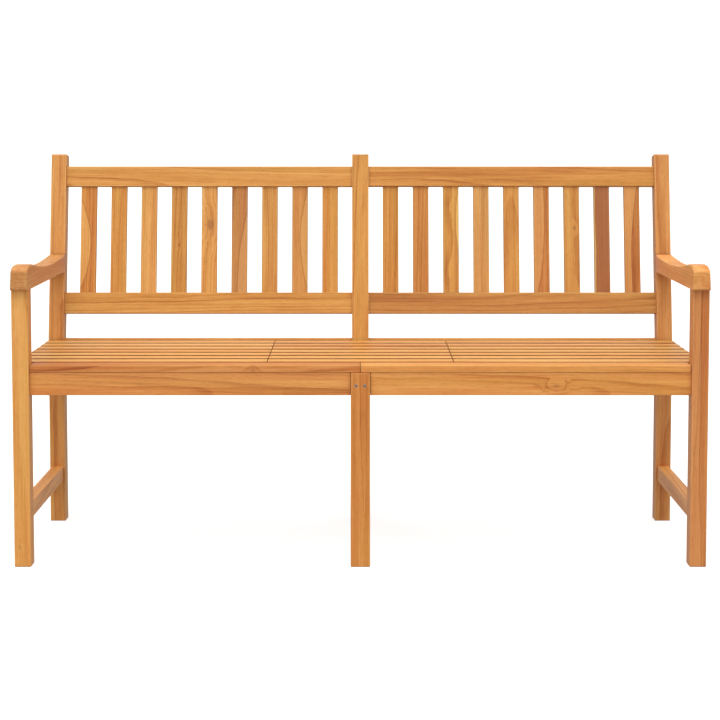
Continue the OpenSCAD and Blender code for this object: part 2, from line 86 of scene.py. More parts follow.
class Tree:
    """Short hand for building shader nodes."""

    def __init__(self, mat):
        mat.use_nodes = True
        self.t = mat.node_tree
        self.t.nodes.clear()
        self.out = self.t.nodes.new("ShaderNodeOutputMaterial")
        self.bsdf = self.t.nodes.new("ShaderNodeBsdfPrincipled")
        self.t.links.new(self.bsdf.outputs[0], self.out.inputs[0])

    def put(self, socket, value):
        if isinstance(value, bpy.types.NodeSocket):
            self.t.links.new(value, socket)
        elif value is not None:
            socket.default_value = value

    def math(self, op, a, b=None, c=None, clamp=False):
        n = self.t.nodes.new("ShaderNodeMath")
        n.operation = op
        n.use_clamp = clamp
        for s, v in zip(n.inputs, (a, b, c)):
            self.put(s, v)
        return n.outputs[0]

    def vec(self, op, a, b=None, scale=None):
        n = self.t.nodes.new("ShaderNodeVectorMath")
        n.operation = op
        self.put(n.inputs[0], a)
        if b is not None:
            self.put(n.inputs[1], b)
        if scale is not None:
            self.put(n.inputs[3], scale)
        return n.outputs["Value"] if op in ("LENGTH", "DOT_PRODUCT", "DISTANCE") else n.outputs[0]

    def attr(self, name, out="Vector"):
        n = self.t.nodes.new("ShaderNodeAttribute")
        n.attribute_type = "GEOMETRY"
        n.attribute_name = name
        return n.outputs[out]

    def split(self, v):
        n = self.t.nodes.new("ShaderNodeSeparateXYZ")
        self.put(n.inputs[0], v)
        return n.outputs

    def join(self, x, y, z):
        n = self.t.nodes.new("ShaderNodeCombineXYZ")
        for s, v in zip(n.inputs, (x, y, z)):
            self.put(s, v)
        return n.outputs[0]

    def noise(self, vec, scale=1.0, detail=2.0, rough=0.5, dist=0.0, dims="3D", w=None, colour=False):
        n = self.t.nodes.new("ShaderNodeTexNoise")
        n.noise_dimensions = dims
        if dims != "1D":
            self.put(n.inputs["Vector"], vec)
        if w is not None:
            self.put(n.inputs["W"], w)
        n.inputs["Scale"].default_value = scale
        n.inputs["Detail"].default_value = detail
        n.inputs["Roughness"].default_value = rough
        n.inputs["Distortion"].default_value = dist
        return n.outputs["Color"] if colour else n.outputs[0]

    def span(self, v, a, b, lo=0.0, hi=1.0, smooth=True):
        n = self.t.nodes.new("ShaderNodeMapRange")
        n.interpolation_type = "SMOOTHSTEP" if smooth else "LINEAR"
        n.clamp = True
        for s, x in zip(n.inputs, (v, a, b, lo, hi)):
            self.put(s, x)
        return n.outputs[0]

    def mix(self, fac, a, b, mode="MIX"):
        n = self.t.nodes.new("ShaderNodeMix")
        n.data_type = "RGBA"
        n.blend_type = mode
        n.clamp_factor = True
        self.put(n.inputs[0], fac)
        self.put(n.inputs[6], a)
        self.put(n.inputs[7], b)
        return n.outputs[2]

    def ramp(self, v, stops):
        n = self.t.nodes.new("ShaderNodeValToRGB")
        self.put(n.inputs[0], v)
        e = n.color_ramp.elements
        while len(e) < len(stops):
            e.new(0.5)
        for el, (p, c) in zip(e, stops):
            el.position = p
            el.color = c
        return n.outputs[0]

    def bump(self, height, strength, distance, normal=None):
        n = self.t.nodes.new("ShaderNodeBump")
        n.inputs["Strength"].default_value = strength
        n.inputs["Distance"].default_value = distance
        self.put(n.inputs["Height"], height)
        if normal is not None:
            self.put(n.inputs["Normal"], normal)
        return n.outputs[0]


# ------------------------------------------------------------------ the wood
# Each board carries its own coordinates as mesh attributes:
#   grain  along, across, through the board in metres, from the pith of its log
#   loc    the same from the middle of the board
#   half   half of its length, width and thickness
#   tone   lightness, redness, contrast of the figure
#   sap    distance across the board into the pale sapwood, its bow, where the bow peaks
#   knot   along, across from a knot's middle, and its radius
#   extra  darkness of the knot, strength of the painted shade on the board's long side faces, amount of brown streaks
#   more   strength of the sapwood, width of the painted shade on the long side faces in metres, darkness of the ends
#   tint   the board's own red, green and blue leaning
WOOD_GAIN = (1.02, 1.0, 0.90, 1.0)


def teak(name, gain=1.0, rough=0.46):
    mat = bpy.data.materials.new(name)
    k = Tree(mat)
    g = k.attr("grain")
    loc = k.attr("loc")
    half = k.attr("half")
    tone = k.split(k.attr("tone"))
    sap = k.split(k.attr("sap"))
    knot = k.split(k.attr("knot"))
    extra = k.split(k.attr("extra"))
    more = k.split(k.attr("more"))
    tint = k.attr("tint")

    # the knot bends the grain round itself
    kd = k.math("SQRT", k.math("ADD",
         k.math("MULTIPLY", k.math("MULTIPLY", knot[0], knot[0]), 0.30),
         k.math("MULTIPLY", knot[1], knot[1])))
    kr = knot[2]
    krel = k.math("DIVIDE", kd, kr)
    lump = k.noise(k.vec("MULTIPLY", g, (60.0, 90.0, 90.0)), 1.0, 2.0, 0.6)
    krel = k.math("MULTIPLY", krel, k.math("MULTIPLY_ADD", lump, 1.1, 0.45))
    pull = k.math("POWER", 2.718, k.math("MULTIPLY", k.math("MULTIPLY", krel, krel), -0.10))
    # slow wander of the fibres, and a little waviness
    wander = k.noise(k.vec("MULTIPLY", g, (1.1, 5.0, 5.0)), 1.0, 1.0, 0.5, colour=True)
    wander = k.vec("MULTIPLY", k.vec("SUBTRACT", wander, (0.5, 0.5, 0.5)), (0.0, 0.026, 0.026))
    wave = k.noise(k.vec("MULTIPLY", g, (7.0, 20.0, 20.0)), 1.0, 2.0, 0.5, colour=True)
    wave = k.vec("MULTIPLY", k.vec("SUBTRACT", wave, (0.5, 0.5, 0.5)), (0.0, 0.0042, 0.0042))
    gw = k.vec("ADD", k.vec("ADD", g, wander), wave)
    gs = k.split(gw)
    # growth rings: distance from the pith, opened into a cone along the log
    rad = k.math("SQRT", k.math("ADD", k.math("MULTIPLY", gs[1], gs[1]), k.math("MULTIPLY", gs[2], gs[2])))
    rad = k.math("MULTIPLY_ADD", gs[0], 0.010, rad)
    rad = k.math("ADD", rad, k.math("MULTIPLY", k.math("MULTIPLY", pull, kr), 2.0))
    slow_r = k.noise(None, 34.0, 1.0, 0.5, dims="1D", w=rad)
    phase = k.math("MULTIPLY_ADD", rad, 190.0, k.math("MULTIPLY", slow_r, 5.0))
    saw = k.math("FRACT", phase)
    ring_no = k.math("FLOOR", phase)
    ring_str = k.noise(None, 0.73, 0.0, 0.5, dims="1D", w=ring_no)
    ring_str = k.span(ring_str, 0.34, 0.62)
    line = k.math("MULTIPLY", k.span(saw, 0.52, 0.93), k.span(saw, 0.96, 1.0, 1.0, 0.0))
    line = k.math("MULTIPLY", line, ring_str)
    bands = k.noise(None, 75.0, 2.0, 0.55, dims="1D", w=rad)
    # streaks and fibres along the board
    streak = k.noise(k.vec("MULTIPLY", gw, (2.0, 95.0, 95.0)), 1.0, 3.0, 0.62)
    streak2 = k.noise(k.vec("MULTIPLY", gw, (5.5, 330.0, 330.0)), 1.0, 2.0, 0.6)
    fibre = k.noise(k.vec("MULTIPLY", g, (22.0, 1100.0, 1100.0)), 1.0, 2.0, 0.55)
    pore = k.noise(k.vec("MULTIPLY", gw, (55.0, 1900.0, 1900.0)), 1.0, 1.0, 0.5)
    pore = k.span(k.math("MULTIPLY_ADD", line, 0.05, pore), 0.60, 0.70)
    cloud = k.noise(k.vec("MULTIPLY", g, (2.2, 14.0, 14.0)), 1.0, 3.0, 0.55, dist=0.4)
    mottle = k.noise(k.vec("MULTIPLY", g, (26.0, 55.0, 55.0)), 1.0, 2.0, 0.6)
    hue = k.noise(k.vec("MULTIPLY", gw, (1.3, 26.0, 26.0)), 1.0, 2.0, 0.55)

    # one figure value from dark (0) to pale (1)
    v = k.math("MULTIPLY", bands, 0.40)
    v = k.math("MULTIPLY_ADD", streak, 0.52, v)
    v = k.math("MULTIPLY_ADD", streak2, 0.40, v)
    v = k.math("MULTIPLY_ADD", cloud, 0.38, v)
    v = k.math("MULTIPLY_ADD", fibre, 0.14, v)
    v = k.math("MULTIPLY_ADD", mottle, 0.10, v)
    v = k.math("SUBTRACT", v, 0.97)                       # the middle of their sum
    v = k.math("MULTIPLY_ADD", line, -0.21, v)
    v = k.math("MULTIPLY", v, tone[2])
    v = k.math("ADD", v, k.math("ADD", tone[0], 0.05))
    col = k.ramp(v, [(0.0, lin(134, 70, 31)), (0.20, lin(170, 98, 45)), (0.40, lin(199, 128, 63)),
                     (0.58, lin(216, 150, 82)), (0.78, lin(230, 171, 102)), (1.0, lin(242, 194, 130))])
    # honey to orange
    col = k.mix(k.span(hue, 0.50, 0.68, 0.0, 0.42), col, k.mix(0.55, col, lin(206, 160, 78)))
    col = k.mix(k.span(hue, 0.32, 0.50, 0.45, 0.0), col, k.mix(0.5, col, lin(202, 116, 62)))
    # reddish heart
    red = k.mix(1.0, col, lin(210, 168, 176), "MULTIPLY")
    red = k.mix(0.45, red, lin(154, 98, 68))
    col = k.mix(tone[1], col, red)
    # brown streaks, sparse and long
    brown = k.noise(k.vec("MULTIPLY", gw, (1.5, 58.0, 58.0)), 1.0, 2.0, 0.55)
    brown = k.math("MULTIPLY", k.span(brown, 0.60, 0.70), extra[2])
    col = k.mix(brown, col, lin(158, 92, 44))
    # pale sapwood on one side, with a crisp, bowed, wandering edge
    t = k.math("DIVIDE", k.split(loc)[0], k.split(half)[0])
    t = k.math("SUBTRACT", t, sap[2])
    wob = k.noise(k.vec("MULTIPLY", g, (5.5, 0.0, 0.0)), 1.0, 2.0, 0.5)
    wob = k.math("MULTIPLY_ADD", wob, 0.012, -0.006)
    sd = k.math("ADD", k.math("MULTIPLY_ADD", k.math("MULTIPLY", t, t), sap[1], sap[0]), wob)
    sp = k.span(sd, -0.0006, 0.0008)
    col = k.mix(k.math("MULTIPLY", sp, more[0]), col, lin(236, 182, 112))
    rim = k.math("MULTIPLY", k.span(sd, -0.0035, -0.0002), k.span(sd, 0.0, 0.0012, 1.0, 0.0))
    col = k.mix(k.math("MULTIPLY", rim, more[0]), col, lin(146, 84, 40))
    # pores
    col = k.mix(k.math("MULTIPLY", pore, 0.30), col, lin(112, 62, 30))
    # the knot: dark eye, darker rim, warm halo
    eye = k.span(krel, 0.55, 1.15, 1.0, 0.0)
    halo = k.span(krel, 0.9, 3.0, 1.0, 0.0)
    col = k.mix(k.math("MULTIPLY", k.math("MULTIPLY", halo, extra[0]), 0.5), col, lin(164, 96, 50))
    col = k.mix(k.math("MULTIPLY", eye, extra[0]), col, lin(110, 58, 32))
    # paler edges, partly rubbed wear and partly a painted highlight where the rounded edges catch light: the second
    # smallest distance to the board's faces
    ab = k.vec("ABSOLUTE", loc)
    dd = k.split(k.vec("SUBTRACT", half, ab))
    mn = k.math("MINIMUM", dd[0], dd[1])
    mx = k.math("MAXIMUM", dd[0], dd[1])
    med = k.math("MAXIMUM", mn, k.math("MINIMUM", mx, dd[2]))
    rag = k.noise(k.vec("MULTIPLY", g, (40.0, 160.0, 160.0)), 1.0, 3.0, 0.6)
    edge = k.span(k.math("MULTIPLY_ADD", rag, -0.0030, med), -0.0012, 0.0030, 1.0, 0.0)
    # the paler edge colour: wear and painted highlight
    col = k.mix(k.math("MULTIPLY", edge, 0.22), col, lin(242, 190, 124))
    col = k.mix(1.0, col, tint, "MULTIPLY")
    # painted shade: the long side faces go dark brown, as shade falls inside the slat gaps
    painted_side_shade = k.math("MULTIPLY", k.span(dd[1], k.math("MULTIPLY", more[1], 0.45), more[1], 1.0, 0.0), extra[1])
    painted_side_shade = k.math("MULTIPLY", painted_side_shade, k.span(rag, 0.2, 0.7, 0.85, 1.0))
    painted_side_shade = k.math("MULTIPLY", painted_side_shade, k.span(dd[1], 0.0001, 0.0006, 0.55, 1.0))
    col = k.mix(painted_side_shade, col, lin(86, 36, 6))
    # end grain drinks the oil and goes darker
    is_end = k.span(dd[0], 0.0002, 0.0016, 1.0, 0.0)
    near_end = k.span(dd[0], 0.0, 0.008, 1.0, 0.0)
    col = k.mix(k.math("MULTIPLY", k.math("MULTIPLY", near_end, more[2]), 0.30), col, lin(160, 92, 44))
    col = k.mix(k.math("MULTIPLY", is_end, more[2]), col, lin(122, 68, 34))
    col = k.mix(1.0, col, tuple(c * gain for c in WOOD_GAIN[:3]) + (1.0,), "MULTIPLY")
    k.put(k.bsdf.inputs["Base Color"], col)
    # satin oil finish: pores and dark lines are drier
    r = k.math("MULTIPLY_ADD", cloud, 0.16, rough - 0.08)
    r = k.math("MULTIPLY_ADD", pore, 0.14, r)
    r = k.math("MULTIPLY_ADD", is_end, 0.18, r)
    r = k.math("MULTIPLY_ADD", edge, -0.05, r)
    r = k.math("MULTIPLY_ADD", painted_side_shade, 0.35, r)
    k.put(k.bsdf.inputs["Roughness"], r)
    h = k.math("MULTIPLY", fibre, 0.5)
    h = k.math("MULTIPLY_ADD", pore, -0.8, h)
    h = k.math("MULTIPLY_ADD", line, -0.5, h)
    h = k.math("MULTIPLY_ADD", streak2, 0.5, h)
    h = k.math("MULTIPLY_ADD", eye, -0.5, h)
    k.put(k.bsdf.inputs["Normal"], k.bump(h, 0.4, 0.0004))
    k.bsdf.inputs["Specular IOR Level"].default_value = 0.24
    return mat


def steel(name, base, rough):
    mat = bpy.data.materials.new(name)
    k = Tree(mat)
    tc = k.t.nodes.new("ShaderNodeTexCoord").outputs["Object"]
    fine = k.noise(k.vec("MULTIPLY", tc, (900.0, 2600.0, 2600.0)), 1.0, 2.0, 0.6)
    slow = k.noise(k.vec("MULTIPLY", tc, (60.0, 60.0, 60.0)), 1.0, 3.0, 0.6)
    spots = k.span(k.noise(k.vec("MULTIPLY", tc, (420.0, 420.0, 420.0)), 1.0, 2.0, 0.5), 0.60, 0.74)
    col = k.mix(k.span(slow, 0.35, 0.7), base, tuple(c * 0.72 for c in base[:3]) + (1.0,))
    col = k.mix(k.math("MULTIPLY", spots, 0.25), col, lin(96, 82, 70))
    # painted shade: dark brown in screw recesses and under screw heads
    painted_recess_shade = k.attr("painted_recess_shade", "Fac")
    col = k.mix(k.math("MULTIPLY", painted_recess_shade, 0.88), col, lin(86, 50, 28))
    k.put(k.bsdf.inputs["Base Color"], col)
    k.bsdf.inputs["Metallic"].default_value = 1.0
    r = k.math("MULTIPLY_ADD", fine, 0.18, rough - 0.08)
    r = k.math("MULTIPLY_ADD", spots, 0.2, r)
    k.put(k.bsdf.inputs["Roughness"], r)
    k.put(k.bsdf.inputs["Normal"], k.bump(fine, 0.25, 0.00012))
    return mat


def raw_wood(name):
    """Plain beech-like dowels, with the grain along the dowel's own length."""
    mat = bpy.data.materials.new(name)
    k = Tree(mat)
    tc = k.t.nodes.new("ShaderNodeTexCoord").outputs["Object"]
    n = k.noise(k.vec("MULTIPLY", tc, (420.0, 160.0, 420.0)), 1.0, 3.0, 0.6)
    fl = k.span(k.noise(k.vec("MULTIPLY", tc, (900.0, 900.0, 900.0)), 1.0, 1.0, 0.5), 0.62, 0.72)
    col = k.mix(n, lin(206, 160, 108), lin(230, 190, 140))
    col = k.mix(k.math("MULTIPLY", fl, 0.35), col, lin(150, 100, 62))
    k.put(k.bsdf.inputs["Base Color"], col)
    k.put(k.bsdf.inputs["Roughness"], k.math("MULTIPLY_ADD", n, 0.2, 0.55))
    k.put(k.bsdf.inputs["Normal"], k.bump(n, 0.3, 0.0002))
    return mat


MATS = {
    "frame_teak": teak("teak_frame", 1.0, 0.46),
    "slat_teak": teak("teak_slat", 1.0, 0.45),
    "under_teak": teak("teak_under", 0.93, 0.54),
    "dowel_wood": raw_wood("dowel_wood"),
    "stainless": steel("stainless_steel", lin(190, 178, 164), 0.36),
}


# ------------------------------------------------------------------ boards
def frame_of(kind):
    """Rotation whose columns are the along, across and through directions of a board."""
    s, c = math.sin(RECLINE), math.cos(RECLINE)
    u, v = Vector((0, s, c)), Vector((0, c, -s))
    ls, lc = math.sin(REST_A), math.cos(REST_A)
    axes = {
        "x_flat": (Vector((1, 0, 0)), Vector((0, 1, 0)), Vector((0, 0, 1))),
        "x_up": (Vector((1, 0, 0)), Vector((0, 0, 1)), Vector((0, 1, 0))),
        "x_rail": (Vector((1, 0, 0)), u, v),
        "z": (Vector((0, 0, 1)), Vector((1, 0, 0)), Vector((0, 1, 0))),
        "u": (u, Vector((1, 0, 0)), v),
        "y_up": (Vector((0, 1, 0)), Vector((0, 0, 1)), Vector((1, 0, 0))),
        "y_flat": (Vector((0, 1, 0)), Vector((1, 0, 0)), Vector((0, 0, 1))),
        "link": (Vector((0, lc, ls)), Vector((0, -ls, lc)), Vector((1, 0, 0))),
        "bar": (Vector((1, 0, 0)), Vector((0, lc, ls)), Vector((0, -ls, lc))),
    }[kind]
    return Matrix(axes).transposed()


def islands(bm):
    seen, out = set(), []
    for v in bm.verts:
        if v in seen:
            continue
        todo, group = [v], []
        seen.add(v)
        while todo:
            w = todo.pop()
            group.append(w)
            for e in w.link_edges:
                o = e.other_vert(w)
                if o not in seen:
                    seen.add(o)
                    todo.append(o)
        out.append(group)
    return out


class Look:
    """How one board looks. pith is across, through from the middle of the board, in mm.
    sap is (edge across -1..1, side, bow, where the bow peaks along -1..1).
    knot is (along -1..1, across -1..1, radius in mm, darkness)."""

    # sides and wide: strength, and width in mm, of the painted shade on the board's long side faces
    def __init__(self, light=0.5, red=0.0, figure=1.0, sap=None, knot=None, pith=None, seed=0, sides=0.0, brown=0.25, sapk=0.45, wide=1.5, end=0.55, tint=(1.0, 1.0, 1.0)):
        self.tint = tint
        self.light, self.red, self.figure = light, red, figure
        self.sap, self.knot, self.pith, self.seed = sap, knot, pith, seed
        self.sides, self.brown, self.sapk, self.wide, self.end = sides, brown, sapk, wide, end


def random_look(seed, light=0.52, spread=0.07, sides=0.0, wide=1.5, end=0.45, tint=(0.98, 1.0, 1.0)):
    r = random.Random(seed)
    look = Look(light + r.uniform(-spread, spread), max(0.0, r.uniform(-0.14, 0.16)), r.uniform(0.8, 1.2), seed=seed,
                sides=sides, brown=r.choice((0.0, 0.15, 0.35, 0.6)), sapk=r.uniform(0.2, 0.4), wide=wide, end=end, tint=tint)
    if r.random() < 0.30:
        look.sap = (r.uniform(-0.5, 0.5), r.choice((-1, 1)), r.uniform(-0.6, 0.6), r.uniform(-0.8, 0.8))
    if r.random() < 0.14:
        look.knot = (r.uniform(-0.8, 0.8), r.uniform(-0.5, 0.5), r.uniform(2.0, 3.6), r.uniform(0.4, 0.75))
    return look


VECTORS = ("grain", "loc", "half", "tone", "sap", "knot", "extra", "more", "tint")


def ready(bm):
    """Adds the layers the wood needs. Done before any vertex is picked: it renews them."""
    for n in VECTORS:
        if bm.verts.layers.float_vector.get(n) is None:
            bm.verts.layers.float_vector.new(n)
    return bm


def paint(bm, verts, rot, look, half=None, centre=None, local=None, follow=False, span=None):
    """Writes the wood attributes on verts. rot's columns are the board's directions.
    local(co) may give (loc, half) for a board that isn't a plain box; with follow the
    grain runs along it too."""
    lay = {n: bm.verts.layers.float_vector[n] for n in VECTORS}
    inv = rot.transposed()
    pts = [inv @ v.co for v in verts]
    if centre is None:
        lo = Vector([min(p[i] for p in pts) for i in range(3)])
        hi = Vector([max(p[i] for p in pts) for i in range(3)])
        centre, size = (lo + hi) / 2, (hi - lo) / 2
    else:
        size = Vector(half)
    if span:                                     # visible length, without the tenons
        centre[0], size[0] = (span[0] + span[1]) * MM / 2, abs(span[1] - span[0]) * MM / 2
    r = random.Random(look.seed * 7919 + 13)
    if look.pith is None:
        pith = (r.choice((-1, 1)) * r.uniform(0.0, 0.07), r.choice((-1, 1)) * r.uniform(0.04, 0.13))
    else:
        pith = (look.pith[0] * MM, look.pith[1] * MM)
    start = r.uniform(-4.0, 4.0)
    if look.knot:
        kx, ky, kr, dark = look.knot[0] * size[0], look.knot[1] * size[1], look.knot[2] * MM, look.knot[3]
    else:
        kx, ky, kr, dark = 9.0, 9.0, 0.003, 0.0
    for v, p in zip(verts, pts):
        q = p - centre
        lq, hq = (q, size) if local is None else local(v.co)
        gq = lq if follow else q
        v[lay["loc"]] = lq
        v[lay["half"]] = hq
        v[lay["grain"]] = Vector((gq[0] + start, gq[1] - pith[0], gq[2] - pith[1]))
        v[lay["tone"]] = Vector((look.light, look.red, look.figure))
        v[lay["knot"]] = Vector((gq[0] - kx, gq[1] - ky, kr))
        v[lay["extra"]] = Vector((dark, look.sides, look.brown))
        v[lay["more"]] = Vector((look.sapk, look.wide * MM, look.end))
        v[lay["tint"]] = Vector(look.tint)
        if look.sap is None:
            v[lay["sap"]] = Vector((-1.0, 0.0, 0.0))
        else:
            edge, side, bow, peak = look.sap
            v[lay["sap"]] = Vector((side * (gq[1] - edge * size[1]), -side * bow * size[1], peak))


def finish_mesh(name, bm, node, mat=None):
    bmesh.ops.recalc_face_normals(bm, faces=bm.faces)
    me = bpy.data.meshes.new(name)
    bm.to_mesh(me)
    bm.free()
    for p in me.polygons:
        p.use_smooth = True
    ob = bpy.data.objects.new(name, me)
    scene.collection.objects.link(ob)
    me.materials.append(mat or MATS[SLOT_OF[node]])
    wn = ob.modifiers.new("normals", "WEIGHTED_NORMAL")
    wn.mode = "FACE_AREA"
    wn.weight = 100
    wn.keep_sharp = True
    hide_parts(node)
    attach(ob, BODY_OF[node])
    return ob


def soften(bm, edges, width, segments=3):
    if edges:
        bmesh.ops.bevel(bm, geom=list(edges), offset=width, offset_type="OFFSET", segments=segments,
                        profile=0.5, affect="EDGES", clamp_overlap=True, loop_slide=True)


def rebuilt(name, node, kind, looks, widths=(4.0, 1.2, 1.2)):
    """Boards that are plain boxes in their own frame: one clean, rounded board for each solid.
    widths: rounding in mm of the long edges on the show side, of the other long edges, and of the ends."""
    rot = frame_of(kind)
    inv = rot.transposed()
    src = bmesh.new()
    src.from_mesh(NODES[node].data)
    bmesh.ops.remove_doubles(src, verts=src.verts, dist=2e-6)
    boxes = []
    for group in islands(src):
        pts = [inv @ v.co for v in group]
        lo = Vector([min(p[i] for p in pts) for i in range(3)])
        hi = Vector([max(p[i] for p in pts) for i in range(3)])
        boxes.append((lo, hi))
    src.free()
    boxes.sort(key=lambda b: tuple(round(x, 4) for x in (rot @ ((b[0] + b[1]) / 2))))
    bm = ready(bmesh.new())
    for i, (lo, hi) in enumerate(boxes):
        one = bmesh.new()
        bmesh.ops.create_cube(one, size=1.0)
        size, mid = hi - lo, (lo + hi) / 2
        for v in one.verts:
            v.co = Vector((v.co[j] * size[j] + mid[j] for j in range(3)))
        show, back, ends = [], [], []
        for e in one.edges:
            d = (e.verts[1].co - e.verts[0].co)
            m = (e.verts[1].co + e.verts[0].co) / 2
            if abs(d[0]) > abs(d[1]) and abs(d[0]) > abs(d[2]):
                front = m[2] > mid[2] if kind == "x_flat" else m[2] < mid[2]
                (show if front else back).append(e)
            else:
                ends.append(e)
        for edges, w in ((show, widths[0]), (back, widths[1])):
            soften(one, [e for e in edges if e.is_valid], w * MM, 4 if w > 2 else 2)
        e2 = []
        for e in one.edges:
            if len(e.link_faces) == 2:
                a, b = e.link_faces[0].normal, e.link_faces[1].normal
                end_a, end_b = abs(a[0]) > 0.99, abs(b[0]) > 0.99
                if end_a != end_b:
                    e2.append(e)
        soften(one, e2, widths[2] * MM, 2)
        ready(one)
        paint(one, one.verts[:], Matrix.Identity(3), looks[i], half=size / 2, centre=mid)
        for v in one.verts:
            v.co = rot @ v.co
        me = bpy.data.meshes.new("tmp")
        one.to_mesh(me)
        one.free()
        bm.from_mesh(me)
        bpy.data.meshes.remove(me)
    return finish_mesh(name, bm, node)


def copied(name, node, kind, look, width=2.5, shortest=9.0, smallest=0.0, local=None, cuts=(), span=None, segments=3):
    """The CAD solid's own shape with its outer edges rounded: holes and tenons stay."""
    rot = frame_of(kind)
    bm = bmesh.new()
    bm.from_mesh(NODES[node].data)
    bmesh.ops.remove_doubles(bm, verts=bm.verts, dist=2e-6)
    bmesh.ops.dissolve_limit(bm, angle_limit=math.radians(0.6), use_dissolve_boundaries=False,
                             verts=bm.verts, edges=bm.edges)
    bm.normal_update()
    pick = []
    for e in bm.edges:
        if len(e.link_faces) != 2 or e.calc_length() < shortest * MM or not e.is_convex:
            continue
        a = e.calc_face_angle(0.0)
        if a < math.radians(50) or a > math.radians(130):
            continue
        if min(f.calc_area() for f in e.link_faces) < smallest * MM * MM:
            continue
        pick.append(e)
    soften(bm, pick, width * MM, segments)
    bmesh.ops.dissolve_degenerate(bm, dist=1e-6, edges=bm.edges)
    for co, no in cuts:
        bmesh.ops.bisect_plane(bm, geom=bm.verts[:] + bm.edges[:] + bm.faces[:], dist=1e-7, plane_co=co, plane_no=no)
    ready(bm)
    for group in islands(bm):
        paint(bm, group, rot, look, local=local, follow=local is not None, span=span)
    # big flat faces stay whole; they're split into triangles here so that holes shade cleanly
    bmesh.ops.triangulate(bm, faces=[f for f in bm.faces if len(f.verts) > 4])
    return finish_mesh(name, bm, node)


# ---- posts, legs
def post_local(half_w, x_mid):
    """Board coordinates of a bent post: along, across and through follow the bend."""
    s, c, t = math.sin(RECLINE), math.cos(RECLINE), math.tan(RECLINE / 2)
    top = (0.886 - BEND_Z) / c
    mid = (top - BEND_Z) / 2

    def f(co):
        dy, dz = co.y - POST_Y, co.z - BEND_Z
        if dz < -dy * t:
            u, v = dz, dy
        else:
            u, v = dy * s + dz * c, dy * c - dz * s
        return (Vector((u - mid, co.x - x_mid, v - 0.021)), Vector(((top + BEND_Z) / 2, half_w, 0.021)))
    return f


MITRE = [((0, POST_Y, BEND_Z), (0, math.sin(RECLINE / 2), math.cos(RECLINE / 2)))]
for side, sx in (("left", -1), ("right", 1)):
    look = (Look(0.54, 0.0, 1.0, knot=(-0.86, -0.35, 3.0, 0.25), seed=20, pith=(-20, 90), tint=(1.04, 1.03, 1.0)) if sx < 0
            else Look(0.44, 0.12, 0.8, sap=(0.0, -1, 0.2, 0.3), seed=22, pith=(26, 80), brown=0.2, sapk=0.30, tint=(0.95, 0.84, 0.96)))
    copied(f"{side}_front_leg_board", f"{side}_front_leg", "z", look, 2.2, 9.0, 900.0)
    look = Look(0.54 if sx < 0 else 0.53, 0.08, 1.0, seed=31 + sx, pith=(12, 70), brown=0.4,
                tint=(0.98, 1.05, 1.12) if sx < 0 else (0.93, 0.94, 1.08))
    copied(f"{side}_rear_post_board", f"{side}_rear_post", "z", look, 2.6, 12.0, 800.0,
           local=post_local(0.018, sx * (X_OUT - 0.018)), cuts=MITRE)
copied("middle_rear_post_board", "middle_rear_post", "z",
       Look(0.45, 0.0, 0.9, seed=41, pith=(25, 80), brown=0.1, tint=(0.93, 1.05, 1.03)),
       2.2, 12.0, 800.0, local=post_local(MID_POST, 0.0), cuts=MITRE)
copied("middle_front_leg_board", "middle_front_leg", "z",
       Look(0.43, 0.08, 0.9, seed=44, pith=(-60, 75), brown=0.2, tint=(0.98, 0.91, 0.84)), 1.8, 9.0, 700.0)

# ---- rails, aprons, stretchers
for side, sx in (("left", -1), ("right", 1)):
    i = 0 if side == "left" else 1
    rail = (sx * MID_POST / MM, sx * 714.0)
    copied(f"{side}_top_rail_board", f"{side}_top_rail", "x_rail",
           Look((0.48, 0.44)[i], (0.0, 0.05)[i], 1.0, seed=(50, 57)[i], pith=(-30, 75), brown=(0.1, 0.4)[i],
                tint=((0.94, 1.03, 1.03), (0.93, 0.99, 0.98))[i]),
           2.4, 30.0, 2000.0, span=rail)
    copied(f"{side}_lower_rail_board", f"{side}_lower_rail", "x_rail",
           Look((0.52, 0.40)[i], (0.0, 0.22)[i], 0.95, seed=(54, 61)[i], pith=(40, 60), brown=(0.3, 0.2)[i],
                tint=((0.93, 1.07, 1.10), (0.93, 1.13, 1.24))[i]),
           2.4, 30.0, 2000.0, span=rail)
    copied(f"{side}_front_apron_board", f"{side}_front_apron", "x_up",
           Look((0.52, 0.60)[i], (0.05, 0.02)[i], 1.1, sap=((-0.30, 1, 0.15, 0.4), None)[i], knot=(None, (0.16, -0.2, 4.6, 0.34))[i], seed=(64, 69)[i],
                pith=(-20, 70), brown=(0.5, 0.1)[i], sapk=0.22, tint=(1.05, (0.95, 0.99)[i], 0.97)), 2.0, 30.0, 2000.0, span=(sx * (MID_LEG / MM + 0.7), sx * 714.0))
    copied(f"{side}_rear_rail_board", f"{side}_rear_rail", "x_up", random_look(72 + i, 0.5), 2.2, 30.0, 2000.0, span=rail)
    copied(f"{side}_side_rail_board", f"{side}_side_rail", "y_up", random_look(74 + i, 0.46), 1.6, 30.0, 2000.0)
    copied(f"{side}_stretcher_board", f"{side}_stretcher", "y_up", Look((0.68, 0.64)[i], 0.06, 1.0, seed=77 + i, tint=(1.06, 1.0, 1.0)), 2.4, 20.0, 900.0)
    copied(f"{side}_bearer_board", f"{side}_bearer", "y_up", random_look(80 + i, 0.46), 1.6, 30.0, 2000.0)
    copied(f"{side}_table_batten_board", f"{side}_table_batten", "y_up", random_look(84 + i, 0.48), 1.4, 18.0, 500.0)
    copied(f"{side}_front_link_board", f"{side}_front_link", "link", random_look(88 + i, 0.52), 1.0, 60.0, 1500.0)
    copied(f"{side}_rear_link_board", f"{side}_rear_link", "link", random_look(92 + i, 0.52), 1.0, 60.0, 1500.0)
copied("middle_seat_rail_board", "middle_seat_rail", "y_up", random_look(96, 0.47), 1.8, 20.0, 900.0)
